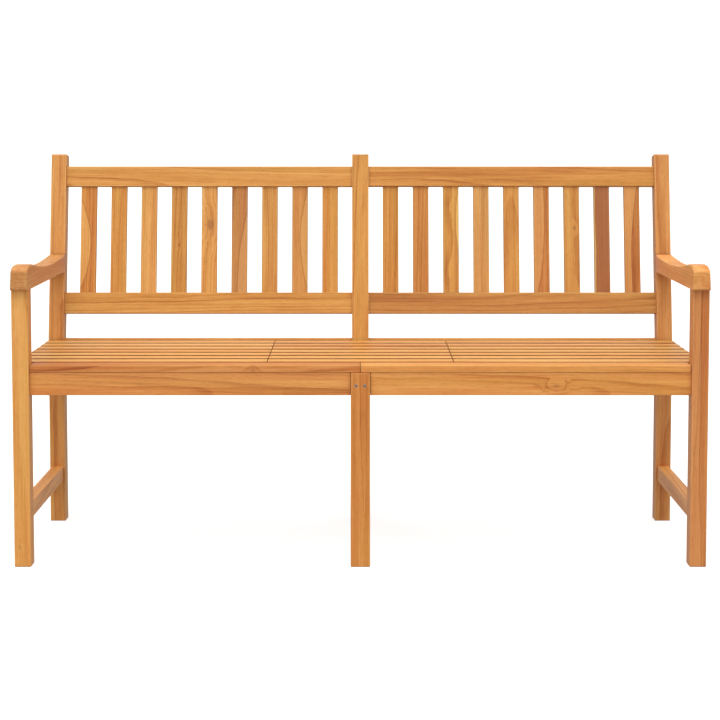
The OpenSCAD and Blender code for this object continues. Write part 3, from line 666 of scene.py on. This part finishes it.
copied("front_crossbar_board", "front_crossbar", "bar", random_look(97, 0.5), 1.4, 12.0, 400.0)
copied("rear_crossbar_board", "rear_crossbar", "bar", random_look(98, 0.5), 1.4, 12.0, 400.0)
copied("stop_blocks_board", "stop_blocks", "y_up", random_look(99, 0.46), 1.0, 9.0, 200.0)

# ---- slats
# back slats, left to right
# back slats: a light painted shade on their long side faces
def L(*a, **k):
    return Look(*a, **dict(dict(sides=0.45, wide=1.3), **k))


left_back = [L(0.43, 0.08, 1.0, sap=(0.30, -1, -2.2, -0.10), seed=101, pith=(40, 60), tint=(0.96, 1.00, 0.95)),
             L(0.45, 0.03, 1.0, seed=102, pith=(70, 40), tint=(0.95, 1.02, 0.98)),
             L(0.58, 0.00, 1.1, seed=103, pith=(55, 60), brown=0.1, tint=(0.92, 0.97, 1.04)),
             L(0.43, 0.04, 0.9, knot=(-0.10, 0.0, 2.2, 0.45), seed=104, pith=(60, 60), brown=0.1, tint=(0.88, 1.02, 1.00)),
             L(0.55, 0.02, 1.1, knot=(0.26, 0.10, 9.0, 0.42), seed=105, pith=(75, 22), brown=0.1, tint=(0.96, 1.06, 1.15)),
             L(0.44, 0.20, 1.2, sap=(-0.35, 1, 0.45, -1.2), seed=106, brown=0.9, tint=(0.78, 0.79, 0.92)),
             L(0.51, 0.02, 1.1, seed=107, pith=(-60, 30), tint=(0.88, 1.01, 1.02)),
             L(0.50, 0.03, 1.0, sap=(0.05, 1, 1.3, 0.0), seed=108, pith=(-10, 50), tint=(0.82, 0.85, 0.88)),
             L(0.48, 0.02, 0.8, seed=109, pith=(80, 80), brown=0.0, tint=(0.90, 0.93, 0.84))]
right_back = [L(0.48, 0.03, 1.0, seed=111, tint=(0.86, 0.90, 0.79)),
              L(0.40, 0.12, 1.0, seed=112, pith=(60, 50), tint=(0.92, 0.94, 0.98)),
              L(0.46, 0.0, 0.9, sap=(0.62, 1, 1.0, 0.35), seed=113, brown=0.2, tint=(0.98, 1.22, 1.18)),
              L(0.47, 0.30, 0.9, seed=114, brown=0.2, pith=(-70, 60), tint=(1.03, 1.30, 1.48)),
              L(0.52, 0.02, 0.9, seed=115, tint=(0.86, 0.91, 0.85)),
              L(0.47, 0.04, 1.1, sap=(0.35, -1, -0.5, 0.4), seed=116, tint=(0.84, 0.83, 0.88)),
              L(0.54, 0.0, 0.9, knot=(0.2, 0.35, 2.4, 0.5), seed=117, brown=0.1, tint=(0.84, 0.91, 0.88)),
              L(0.30, 0.80, 0.9, sap=(-0.80, -1, 0.0, 0.0), seed=118, brown=0.3, tint=(0.94, 1.13, 1.28)),
              L(0.38, 0.22, 1.2, sap=(-0.15, -1, 0.35, -0.6), seed=119, brown=0.5, tint=(0.87, 0.83, 0.88))]
rebuilt("left_back_slat_boards", "left_back_slats", "u", left_back, (1.6, 1.6, 0.6))
rebuilt("right_back_slat_boards", "right_back_slats", "u", right_back, (1.6, 1.6, 0.6))
# seat and table slats: strong painted shade, 4.4 mm across, on their long side faces in the gaps
for side, base in (("left", 120), ("right", 140)):
    looks = [random_look(base + j, 0.76, 0.05, sides=1.0, wide=4.4, end=0.25, tint=(0.97, 0.95, 0.90)) for j in range(7)]
    rebuilt(f"{side}_seat_slat_boards", f"{side}_seat_slats", "x_flat", looks, (4.0, 1.2, 0.6))
rebuilt("table_slat_boards", "table_slats", "x_flat", [random_look(160 + j, 0.76, 0.05, sides=1.0, wide=4.4, end=0.25, tint=(0.97, 0.95, 0.90)) for j in range(7)],
        (4.0, 1.2, 0.6))
rebuilt("left_front_slat_board", "left_front_slat", "x_flat",
        [Look(0.46, 0.10, 1.2, knot=(0.35, -0.9, 2.6, 0.45), seed=171, brown=0.9, pith=(60, 20), tint=(0.95, 0.84, 0.87))], (1.6, 1.4, 0.6))
rebuilt("right_front_slat_board", "right_front_slat", "x_flat", [Look(0.58, 0.02, 1.0, seed=175, tint=(1.04, 1.03, 1.0))], (1.6, 1.4, 0.6))


# ---- armrests: a run of rounded sections, full and rounded at the nose, dipping in the middle
ARM_KEY = [(-14, 640), (-8, 650), (4, 655), (22, 656.5), (44, 656), (86, 651.5), (130, 646), (180, 641.5),
           (235, 638.5), (295, 637.5), (355, 638.5), (425, 641.5), (505, 646.5), (560, 650)]


def arm_top(y):
    """Height of the armrest's top in mm, y in mm behind the leg fronts."""
    k = ARM_KEY
    for i in range(1, len(k) - 2):
        if k[i][0] <= y <= k[i + 1][0]:
            t = (y - k[i][0]) / (k[i + 1][0] - k[i][0])
            p = [k[j][1] for j in range(i - 1, i + 3)]
            return 0.5 * (2 * p[1] + (p[2] - p[0]) * t + (2 * p[0] - 5 * p[1] + 4 * p[2] - p[3]) * t * t
                          + (3 * p[1] - p[0] - 3 * p[2] + p[3]) * t ** 3)
    return k[1][1]


def armrest(side, sx, look):
    node = f"{side}_armrest"
    lo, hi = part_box(node)
    x0, x1 = lo.x, hi.x
    nose = lo.y
    bm = bmesh.new()
    n_arc = 5
    rings, ys = [], []
    rn = 9.0                                     # rounding of the nose, mm
    for i in range(7):
        a = math.radians(90.0 * i / 6)
        ys.append((-16.0 + rn * (1 - math.cos(a)), rn * (1 - math.sin(a))))
    y = -16.0 + rn
    while y < 484:
        y += 8.0 if y < 60 else 14.0
        ys.append((y, 0.0))
    post_y = (POST_Y - LEG_Y) / MM
    ys = [t for t in ys if t[0] < post_y + 20]
    ys.append((None, 0.0))
    for y, inset in ys:
        end = y is None
        yy = 495.0 if end else y
        top = arm_top(yy) if yy >= -8 else arm_top(-8.0) - inset * 1.05
        bot = 603.0 + inset * 0.5
        w0, w1 = x0 / MM + inset * 0.30, x1 / MM - inset * 0.30
        rb = 2.2
        pts = []
        lean = 1.8 * max(0.0, min(1.0, (140.0 - yy) / 120.0))    # the outer side leans in at the nose
        rt = 3.4 + 1.6 * lean
        t0, t1 = (w0 + lean, w1) if sx < 0 else (w0, w1 - lean)
        for cx, cz, r, a0 in ((t1, top, rt, 0), (t0, top, rt, 90), (w0, bot, rb, 180), (w1, bot, rb, 270)):
            mx = cx - r if a0 in (0, 270) else cx + r
            mz = cz - r if a0 in (0, 90) else cz + r
            for i in range(n_arc + 1):
                a = math.radians(a0 + 90.0 * i / n_arc)
                pts.append((mx + r * math.cos(a), mz + r * math.sin(a)))
        ring = []
        for px, pz in pts:
            py = yy
            if end:                              # the reclined front face of the post
                py = post_y + (pz - 450.0) * math.tan(RECLINE) - 0.4
            ring.append(bm.verts.new((px * MM, py * MM + LEG_Y, pz * MM)))
        rings.append(ring)
    n = len(rings[0])
    for a, b in zip(rings, rings[1:]):
        for i in range(n):
            bm.faces.new((a[i], a[(i + 1) % n], b[(i + 1) % n], b[i]))
    bm.faces.new(rings[0])
    bm.faces.new(list(reversed(rings[-1])))
    xm = (x0 + x1) / 2
    ready(bm)

    def local(co):
        ymm = (co.y - LEG_Y) / MM
        top = arm_top(max(ymm, -8.0)) * MM
        hz = (top - ARM_Z) / 2
        return (Vector((co.y - (nose + hi.y) / 2, co.x - xm, co.z - ARM_Z - hz)),
                Vector(((hi.y - nose) / 2, (x1 - x0) / 2, hz)))
    paint(bm, bm.verts[:], frame_of("y_flat"), look, local=local)
    finish_mesh(f"{side}_armrest_board", bm, node)


armrest("left", -1, Look(0.56, 0.10, 1.0, seed=181, pith=(10, -60), end=0.12, tint=(0.92, 0.95, 1.18)))
armrest("right", 1, Look(0.62, 0.06, 1.0, seed=186, pith=(-10, -60), end=0.05, tint=(1.07, 1.05, 1.16)))

# ---- the two cross-head screws in the middle leg
def cross_screws(node):
    lo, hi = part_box(node)
    xs = []
    src = bmesh.new()
    src.from_mesh(NODES[node].data)
    bmesh.ops.remove_doubles(src, verts=src.verts, dist=2e-6)
    for group in islands(src):
        xs.append((min(v.co.x for v in group) + max(v.co.x for v in group)) / 2)
    src.free()
    z = (lo.z + hi.z) / 2
    bm = bmesh.new()
    # painted shade for each vertex: dark in the cross recess, round the head's rim and under the head
    painted_recess_shade = bm.verts.layers.float.new("painted_recess_shade")
    for x in sorted(xs):
        turn = math.radians(24 if x < 0 else -12)

        def at(px, pz, y):
            return (x + (px * math.cos(turn) - pz * math.sin(turn)) * MM, lo.y + y * MM,
                    z + (px * math.sin(turn) + pz * math.cos(turn)) * MM)

        def ring(r, y, n=32, dark=0.0):
            out = []
            for i in range(n):
                a = 2 * math.pi * i / n
                v = bm.verts.new(at(r * math.cos(a), r * math.sin(a), y))
                v[painted_recess_shade] = dark
                out.append(v)
            return out

        def cross(w, l, y, dark):
            # 32 points round a cross, one for each point of the head's rings
            out = []
            for i in range(32):
                a = 2 * math.pi * i / 32
                c, s2 = math.cos(a), math.sin(a)
                m = max(abs(c), abs(s2))
                px, pz = c / m, s2 / m
                if abs(px) > 0.999:
                    px, pz = l * px, max(-w, min(w, pz * w * 3))
                else:
                    px, pz = max(-w, min(w, px * w * 3)), l * pz
                if abs(abs(c) - abs(s2)) < 0.30:
                    px, pz = math.copysign(w, c), math.copysign(w, s2)
                v = bm.verts.new(at(px, pz, y))
                v[painted_recess_shade] = dark
                out.append(v)
            return out

        # the dark values below paint shade into the recess and under the head
        loops = [cross(0.30, 1.2, 1.15, 1.0), cross(0.46, 2.05, 0.12, 1.0), cross(0.54, 2.2, 0.02, 0.35),
                 ring(2.7, 0.0, dark=0.45), ring(3.3, 0.04, dark=0.1), ring(3.62, 0.16), ring(3.74, 0.34, dark=0.3), ring(3.5, 0.6, dark=0.8),
                 ring(2.0, 2.1, dark=0.8), ring(2.0, 29.0), ring(1.4, 30.3)]
        for a, b in zip(loops, loops[1:]):
            for i in range(32):
                bm.faces.new((a[i], b[i], b[(i + 1) % 32], a[(i + 1) % 32]))
        bm.faces.new(loops[0])
        bm.faces.new(list(reversed(loops[-1])))
    bmesh.ops.remove_doubles(bm, verts=bm.verts, dist=1e-7)
    finish_mesh("middle_leg_screw_pair", bm, node, MATS["stainless"])


cross_screws("centre_leg_screws")

# ---- the rest of the hardware keeps its CAD shape
for n, ob in NODES.items():
    ob.data.materials.clear()
    ob.data.materials.append(MATS[SLOT_OF[n]])
    if SLOT_OF[n] in ("stainless", "dowel_wood"):
        m = ob.modifiers.new("soft_edges", "BEVEL")
        m.width = 0.0003
        m.segments = 2
        m.limit_method = "ANGLE"
        m.angle_limit = math.radians(40)


# ------------------------------------------------------------------ stage and light
def bowl():
    """A pale round floor that rises into a wall all round. It catches shadows but gives no light."""
    bm = bmesh.new()
    prof = [(0.6 * i, 0.0) for i in range(1, 12)]
    r, big = 2.6, 9.2
    for i in range(1, 13):
        a = math.radians(90 * i / 12)
        prof.append((big - r + r * math.sin(a), r - r * math.cos(a)))
    prof.append((big, 9.0))
    n = 96
    middle = bm.verts.new((0, 0, -0.0004))
    last = None
    for rr, z in prof:
        row = [bm.verts.new((rr * math.cos(2 * math.pi * i / n), rr * math.sin(2 * math.pi * i / n), z - 0.0004))
               for i in range(n)]
        for i in range(n):
            if last is None:
                bm.faces.new((middle, row[i], row[(i + 1) % n]))
            else:
                bm.faces.new((last[i], row[i], row[(i + 1) % n], last[(i + 1) % n]))
        last = row
    me = bpy.data.meshes.new("floor")
    bm.to_mesh(me)
    bm.free()
    for p in me.polygons:
        p.use_smooth = True
    ob = bpy.data.objects.new("floor", me)
    scene.collection.objects.link(ob)
    mat = bpy.data.materials.new("floor_paper")
    k = Tree(mat)
    k.bsdf.inputs["Base Color"].default_value = (0.42, 0.42, 0.42, 1.0)
    k.bsdf.inputs["Roughness"].default_value = 0.95
    k.bsdf.inputs["Specular IOR Level"].default_value = 0.0
    k.bsdf.inputs["Emission Color"].default_value = (1.0, 1.0, 1.0, 1.0)
    k.bsdf.inputs["Emission Strength"].default_value = 0.765
    me.materials.append(mat)
    ob.visible_diffuse = False
    ob.visible_glossy = False
    ob.visible_shadow = False


bowl()
world = bpy.data.worlds.new("world")
scene.world = world
world.use_nodes = True
wt = world.node_tree
wt.nodes.clear()
w_out = wt.nodes.new("ShaderNodeOutputWorld")
bg = wt.nodes.new("ShaderNodeBackground")
wt.links.new(bg.outputs[0], w_out.inputs[0])
tc = wt.nodes.new("ShaderNodeTexCoord")
dot = wt.nodes.new("ShaderNodeVectorMath")
dot.operation = "DOT_PRODUCT"
wt.links.new(tc.outputs["Generated"], dot.inputs[0])
dot.inputs[1].default_value = (0.0, -0.545, 0.839)
top = wt.nodes.new("ShaderNodeMath")
top.operation = "MAXIMUM"
wt.links.new(dot.outputs["Value"], top.inputs[0])
top.inputs[1].default_value = 0.0
amt = wt.nodes.new("ShaderNodeMath")
amt.operation = "MULTIPLY_ADD"
wt.links.new(top.outputs[0], amt.inputs[0])
amt.inputs[1].default_value = 0.80
amt.inputs[2].default_value = 0.47
back_dot = wt.nodes.new("ShaderNodeVectorMath")
back_dot.operation = "DOT_PRODUCT"
wt.links.new(tc.outputs["Generated"], back_dot.inputs[0])
back_dot.inputs[1].default_value = (0.0, 0.82, 0.57)
back_top = wt.nodes.new("ShaderNodeMath")
back_top.operation = "MAXIMUM"
wt.links.new(back_dot.outputs["Value"], back_top.inputs[0])
back_top.inputs[1].default_value = 0.0
both = wt.nodes.new("ShaderNodeMath")
both.operation = "MULTIPLY_ADD"
wt.links.new(back_top.outputs[0], both.inputs[0])
both.inputs[1].default_value = 0.22
wt.links.new(amt.outputs[0], both.inputs[2])
wt.links.new(both.outputs[0], bg.inputs[1])
bg.inputs[0].default_value = (1.0, 0.995, 0.985, 1.0)
sun = bpy.data.lights.new("overhead", "SUN")
sun.energy = 1.40
sun.angle = math.radians(45)
sun.color = (1.0, 0.985, 0.96)
sun_ob = bpy.data.objects.new("overhead", sun)
scene.collection.objects.link(sun_ob)
sun_ob.rotation_euler = Vector((0.08, 0.46, -1.0)).to_track_quat("-Z", "Y").to_euler()
scene.view_settings.view_transform = "Standard"
scene.view_settings.look = "None"
scene.view_settings.exposure = 0.0
